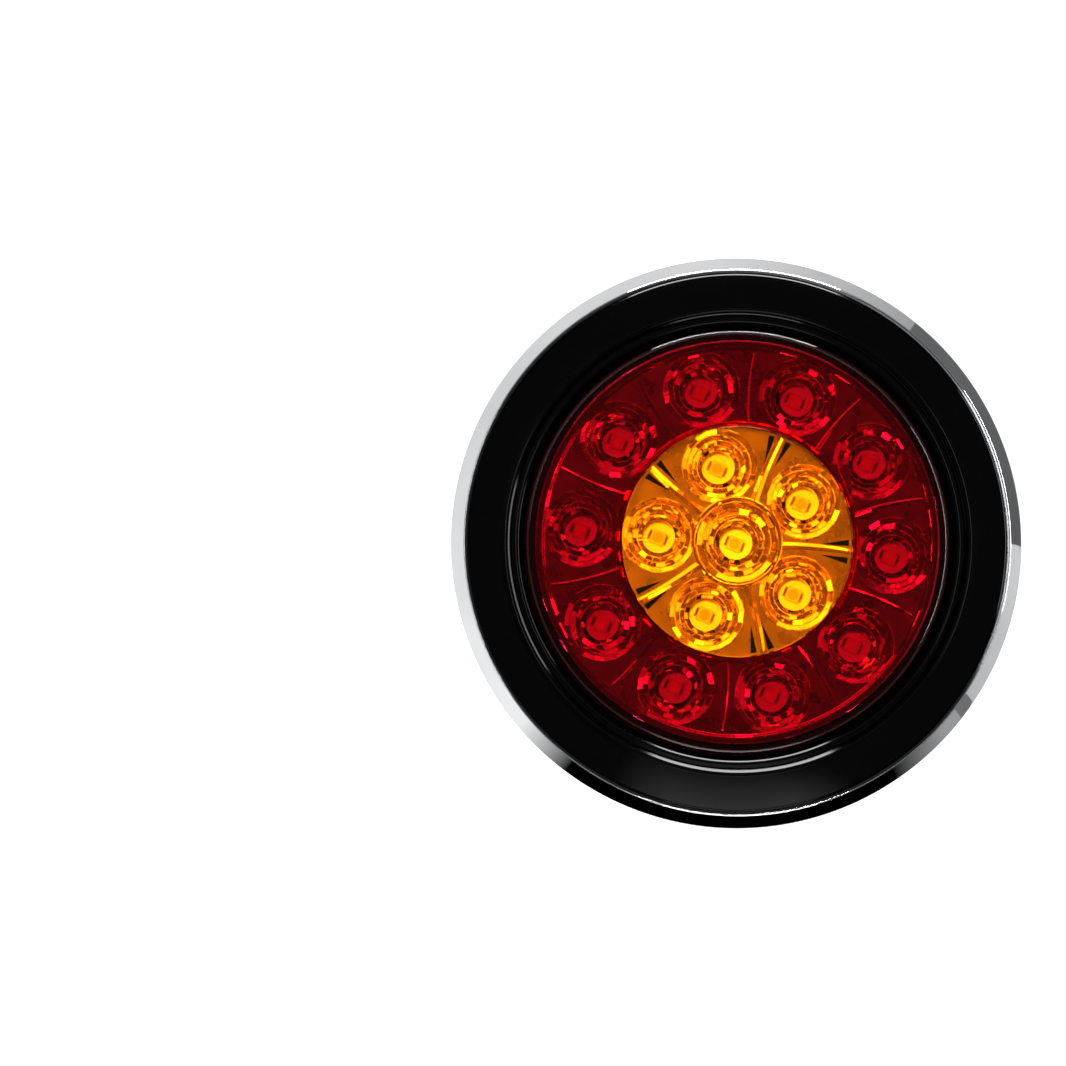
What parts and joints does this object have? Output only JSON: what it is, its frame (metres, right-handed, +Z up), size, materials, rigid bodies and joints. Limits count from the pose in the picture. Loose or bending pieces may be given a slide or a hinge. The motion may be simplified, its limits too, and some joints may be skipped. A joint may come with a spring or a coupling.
{
  "type": "trailer tail light",
  "caption": "Round red LED tail light with an amber centre, stepped reflector cups, black rubber grommet and bright trim ring.",
  "frame": {"origin": "centre of the panel hole, on the panel's outer face, where the trim ring's back rests", "axes": "+Y runs into the panel, away from the viewer; the lens faces -Y; +Z is up and +X is to the viewer's right"},
  "size_m": [0.14, 0.039, 0.14],
  "materials": {
    "chrome_trim": "mirror-bright plated sheet with fine handling marks",
    "grommet_rubber": "semi-gloss moulded rubber",
    "housing_plastic": "lightly textured black moulding",
    "seal_silicone": "cured black sealant, satin",
    "lens_red": "polished transparent red",
    "lens_amber": "polished transparent amber",
    "reflector_metal": "vacuum-metallised moulding, bright facets",
    "board_white": "white solder mask, satin",
    "led_package": "white moulded package",
    "led_window_red": "clear dome over the chip",
    "led_window_amber": "clear dome over the chip",
    "solder": "bright solder",
    "resistor_body": "black overglaze",
    "resistor_end": "tinned end cap",
    "diode_body": "black epoxy moulding",
    "diode_lead": "tinned flat lead",
    "screw_steel": "zinc plated",
    "pin_brass": "turned brass, lightly tarnished",
    "wire_white": "extruded insulation",
    "wire_brown": "extruded insulation",
    "wire_yellow": "extruded insulation",
    "potting_epoxy": "poured black compound"
  },
  "bodies": {
    "root": {"trim_ring": "chrome_trim", "grommet": "grommet_rubber", "housing": "housing_plastic", "lens_seal": "seal_silicone", "red_lens": "lens_red", "amber_lens": "lens_amber", "reflector": "reflector_metal", "circuit_board": "board_white", "red_led_bodies": "led_package", "red_led_windows": "led_window_red", "amber_led_bodies": "led_package", "amber_led_windows": "led_window_amber", "led_solder": "solder", "resistors": "resistor_body", "resistor_ends": "resistor_end", "diodes": "diode_body", "diode_leads": "diode_lead", "board_screws": "screw_steel", "ground_pin": "pin_brass", "tail_pin": "pin_brass", "turn_pin": "pin_brass", "pin_solder": "solder", "ground_wire": "wire_white", "tail_wire": "wire_brown", "turn_wire": "wire_yellow", "wire_solder": "solder", "potting": "potting_epoxy"}
  },
  "joints": []
}
